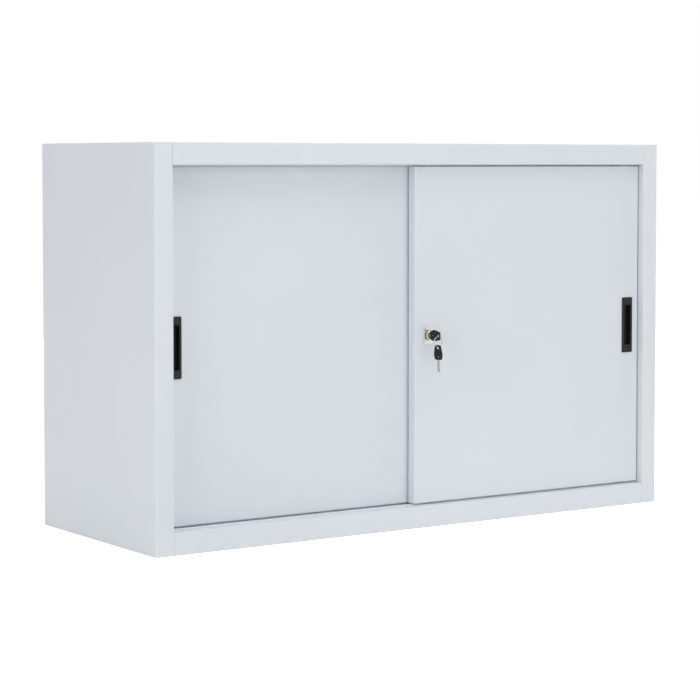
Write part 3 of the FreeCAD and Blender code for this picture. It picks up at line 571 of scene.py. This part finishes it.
def coil(radius, wire, turns, start, side):
    """Round wire wound about the Y axis; side gives its place along the axis at each turn."""
    build = bmesh.new()
    rings = []
    for i in range(int(COIL_STEPS * turns) + 1):
        angle = 2 * math.pi * i / COIL_STEPS + math.radians(start)
        out = Vector((math.cos(angle), 0, math.sin(angle)))
        middle = out * radius + Vector((0, side(i / COIL_STEPS), 0))
        ring = []
        for k in range(WIRE_SIDES):
            turn = 2 * math.pi * k / WIRE_SIDES
            point = middle + out * (wire * math.cos(turn)) + Vector((0, wire * math.sin(turn), 0))
            ring.append(build.verts.new(point * MM))
        rings.append(ring)
    for here, there in zip(rings, rings[1:]):
        band(build, here, there)
    build.faces.new(rings[0])
    build.faces.new(rings[-1][::-1])
    return smooth(closed_mesh(build, "coil"), 50.0)


def split_ring():
    """The key ring as a doubled coil of round wire with two cut ends."""
    def side(turns):
        share = min(max((turns - (1 - RING_JOG)) / (2 * RING_JOG), 0.0), 1.0)
        return RING_COIL_STEP * (2 * share * share * (3 - 2 * share) - 1)

    mesh = coil(RING_RADIUS, RING_WIRE, RING_TURNS, RING_START, side)
    mesh.transform(Matrix.Translation(Vector(RING_CENTRE) * MM))
    ring = piece("split_ring", mesh, "key_ring", "ring_steel")
    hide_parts("key_ring")


def lock_coil():
    """The lock's spring in round wire with closed ends."""
    closed = SPRING_DEAD * (2 * SPRING_WIRE + SPRING_GAP)
    room = SPRING_LENGTH - 2 * (SPRING_WIRE + SPRING_GAP)
    pitch = (room - 2 * closed) / (SPRING_TURNS - 2 * SPRING_DEAD)

    def side(turns):
        live = min(max(turns - SPRING_DEAD, 0.0), SPRING_TURNS - 2 * SPRING_DEAD)
        still = turns - live
        return still / SPRING_DEAD * closed + live * pitch - room / 2

    mesh = coil(SPRING_RADIUS, SPRING_WIRE, SPRING_TURNS, 0, side)
    middle = Vector((LOCK[0], SPRING_FOOT - SPRING_LENGTH / 2, LOCK[2]))
    mesh.transform(Matrix.Translation(middle * MM))
    spring = piece("lock_spring_coil", mesh, "front_door", "spring_steel")
    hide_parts("lock_spring")
    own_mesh(spring)


def barrel_seal_and_painted_shade():
    """Thin dark rubber ring round the barrel where it leaves the plate; it also stands as painted
    shade, the dark rim of shadow at the barrel's base.
    """
    ring = smooth(lathe(SEAL_AND_SHADE_SECTION, 72), 40.0)
    ring.transform(facing((0, -1, 0), LOCK[0], PLATE_FACE, LOCK[2]))
    piece("barrel_seal_and_painted_shade", ring, "front_door", "rubber")


def arc_centres(corners):
    """Centre, radius, first and last angle of the arc at each corner of a convex outline."""
    arcs = []
    for i, (u, v, radius) in enumerate(corners):
        here = Vector((u, v))
        back = (Vector(corners[i - 1][:2]) - here).normalized()
        ahead = (Vector(corners[(i + 1) % len(corners)][:2]) - here).normalized()
        half = back.angle(ahead) / 2
        centre = here + (back + ahead).normalized() * (radius / math.sin(half))
        first = centre - here - back * (radius / math.tan(half))
        last = centre - here - ahead * (radius / math.tan(half))
        start = math.atan2(-first.y, -first.x)
        turn = (math.atan2(-last.y, -last.x) - start + math.pi) % (2 * math.pi) - math.pi
        arcs.append((centre, radius, start, turn))
    return arcs


def moulded_plate(corners, section):
    """A plate with rounded outline and moulded edges; height is X, the outline lies in YZ."""
    build = bmesh.new()
    loops = []
    for inset, height in section:
        loop = []
        for centre, radius, start, turn in arc_centres(corners):
            for k in range(CORNER_STEPS + 1):
                angle = start + turn * k / CORNER_STEPS
                u = centre.x + (radius - inset) * math.cos(angle)
                v = centre.y + (radius - inset) * math.sin(angle)
                loop.append(build.verts.new((height * MM, v * MM, u * MM)))
        loops.append(loop)
    for here, there in zip(loops, loops[1:]):
        band(build, here, there)
    build.faces.new(loops[0][::-1])
    build.faces.new(loops[-1])
    return closed_mesh(build, "plate")


def flared_hole(radius, u, segments):
    """Cutter along X for a round hole whose edges are broken."""
    flare = [(0.0, 0.7), (0.1, 1.05), (0.35, 1.4), (1.6, CUTTER_HALF)]    # wider by, at height
    above = [(radius + wider, height) for wider, height in flare]
    below = [(wide, -height) for wide, height in above[::-1]]
    hole = lathe([(0, -CUTTER_HALF)] + below + above + [(0, CUTTER_HALF)], segments)
    hole.transform(Matrix.Translation((0, 0, u * MM)) @ Matrix.Rotation(math.pi / 2, 4, "Y"))
    return hole


def key_bodies():
    """Places of the two keys: drawn with the ring hole at the origin and the blade downwards."""
    laid = Matrix.Rotation(math.pi / 2, 4, "X")
    hung = Matrix.Rotation(math.radians(SPARE_LEAN), 4, "Y")
    hung = hung @ Matrix.Rotation(math.radians(SPARE_TURN), 4, "Z")
    return [("key", Matrix.Translation(Vector(KEY_HOLE) * MM) @ laid),
            ("spare_key", Matrix.Translation(Vector(SPARE_HOLE) * MM) @ hung)]


def key_bows():
    """Moulded key heads with a raised rim round a sunk panel, a ring hole and a window."""
    bow = moulded_plate(BOW_CORNERS, BOW_SECTION)
    bow = cut(bow, [flared_hole(RING_HOLE_RADIUS, RING_HOLE, 40),
                    flared_hole(WINDOW_RADIUS, WINDOW, 24)])
    bow.transform(Matrix.Translation((0, 0, -RING_HOLE * MM)))
    for body, place in key_bodies():
        mesh = smooth(bow.copy(), 40.0)
        mesh.transform(place)
        head = piece(body + "_bow_moulding", mesh, body, "key_plastic")
        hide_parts(body + "_bow")


def softened(mesh, width, segments):
    """The mesh with its corners rounded, in millimetres."""
    source = bpy.data.objects.new("source", mesh)
    bpy.context.scene.collection.objects.link(source)
    weld = source.modifiers.new("weld", "WELD")
    weld.merge_threshold = 0.01 * MM
    bevel = source.modifiers.new("bevel", "BEVEL")
    bevel.width = width * MM
    bevel.segments = segments
    bevel.limit_method = "ANGLE"
    bevel.angle_limit = math.radians(35)
    bevel.harden_normals = True
    graph = bpy.context.evaluated_depsgraph_get()
    result = bpy.data.meshes.new_from_object(source.evaluated_get(graph))
    bpy.data.objects.remove(source)
    result.materials.clear()
    return result


def key_blades():
    """The blades with broken edges, their tangs bored where the bows have their windows."""
    radius = WINDOW_RADIUS + BORE_ROOM
    bore = lathe([(0, -CUTTER_HALF), (radius, -CUTTER_HALF), (radius, CUTTER_HALF),
                  (0, CUTTER_HALF)], 24)
    bore.transform(Matrix.Translation((0, 0, (WINDOW - RING_HOLE) * MM))
                   @ Matrix.Rotation(math.pi / 2, 4, "Y"))
    for body, place in key_bodies():
        cutter = bore.copy()
        cutter.transform(place)
        mesh = softened(frame["nodes"][body + "_blade"].data.copy(), BLADE_EDGE, 1)
        blade = piece(body + "_blade_steel", cut(mesh, [cutter]), body, "key_steel")
        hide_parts(body + "_blade")


def handle_mouldings():
    """The recessed pulls with the small radii that a mould leaves on their edges."""
    for door in ("front_door", "rear_door"):
        mesh = softened(frame["nodes"][door + "_handle"].data.copy(), PULL_EDGE, 2)
        pull = piece(door + "_handle_moulding", mesh, door, "handle_plastic")
        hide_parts(door + "_handle")


# ================================================================ stage

def white_rays(tree):
    """1 for rays of the camera, of reflections and through glass, 0 for the rest."""
    path = tree.nodes.new("ShaderNodeLightPath")
    seen = path.outputs["Is Camera Ray"]
    for name in ("Is Glossy Ray", "Is Transmission Ray"):
        either = tree.nodes.new("ShaderNodeMath")
        either.operation = "MAXIMUM"
        tree.links.new(seen, either.inputs[0])
        tree.links.new(path.outputs[name], either.inputs[1])
        seen = either.outputs[0]
    return seen


def show_white(tree, shader, strength):
    """Adds a glow that only the camera, reflections and glass see."""
    glow = tree.nodes.new("ShaderNodeMath")
    glow.operation = "MULTIPLY"
    glow.inputs[1].default_value = strength
    tree.links.new(white_rays(tree), glow.inputs[0])
    tree.links.new(glow.outputs[0], shader.inputs["Emission Strength"])


def floor():
    """A wide pale floor that keeps the cabinet's shadow."""
    build = bmesh.new()
    corners = [build.verts.new((x * FLOOR_HALF, y * FLOOR_HALF, 0))
               for x, y in ((-1, -1), (1, -1), (1, 1), (-1, 1))]
    build.faces.new(corners)
    mesh = finished(build, "studio_floor")
    material = bpy.data.materials.new("studio_floor")
    material.use_nodes = True
    shader = material.node_tree.nodes["Principled BSDF"]
    shader.inputs["Base Color"].default_value = FLOOR_COLOR
    shader.inputs["Roughness"].default_value = 0.9
    shader.inputs["Specular IOR Level"].default_value = 0.0
    shader.inputs["Emission Color"].default_value = WHITE
    show_white(material.node_tree, shader, FLOOR_GLOW)
    mesh.materials.append(material)
    obj = bpy.data.objects.new("studio_floor", mesh)
    bpy.context.scene.collection.objects.link(obj)


def world():
    """White to the camera and reflections, a soft even dome to everything else."""
    surroundings = bpy.data.worlds.new("studio")
    bpy.context.scene.world = surroundings
    surroundings.use_nodes = True
    tree = surroundings.node_tree
    tree.nodes.clear()
    output = tree.nodes.new("ShaderNodeOutputWorld")
    mix = tree.nodes.new("ShaderNodeMixShader")
    dome = tree.nodes.new("ShaderNodeBackground")
    dome.inputs["Color"].default_value = DOME_COLOR
    dome.inputs["Strength"].default_value = DOME
    white = tree.nodes.new("ShaderNodeBackground")
    white.inputs["Color"].default_value = WHITE
    white.inputs["Strength"].default_value = BACKDROP
    tree.links.new(white_rays(tree), mix.inputs["Fac"])
    tree.links.new(dome.outputs["Background"], mix.inputs[1])
    tree.links.new(white.outputs["Background"], mix.inputs[2])
    tree.links.new(mix.outputs["Shader"], output.inputs["Surface"])


def softbox(name, place, target, size, watts):
    lamp = bpy.data.lights.new(name, "AREA")
    lamp.shape = "RECTANGLE"
    lamp.size, lamp.size_y = size
    lamp.energy = watts
    obj = bpy.data.objects.new(name, lamp)
    obj.location = place
    aim = Vector(target) - Vector(place)
    obj.rotation_euler = aim.to_track_quat("-Z", "Y").to_euler()
    obj.visible_glossy = name in MIRRORED
    bpy.context.scene.collection.objects.link(obj)


def camera():
    lens = bpy.data.cameras.new("camera")
    lens.sensor_width = CAMERA_SENSOR
    lens.lens = CAMERA_LENS
    lens.shift_y = CAMERA_SHIFT_Y
    lens.clip_end = CAMERA_REACH
    obj = bpy.data.objects.new("camera", lens)
    obj.location = CAMERA_PLACE
    obj.rotation_euler = (math.radians(CAMERA_TILT), 0.0, math.radians(CAMERA_TURN))
    bpy.context.scene.collection.objects.link(obj)
    bpy.context.scene.camera = obj


def main():
    paint_cad_nodes()
    fasteners()
    dressed_seams()
    handle_mouldings()
    barrel_seal_and_painted_shade()
    key_bows()
    key_blades()
    split_ring()
    lock_coil()
    floor()
    world()
    for settings in SOFTBOXES:
        softbox(*settings)
    camera()
    bpy.context.scene.view_settings.view_transform = "Standard"


main()
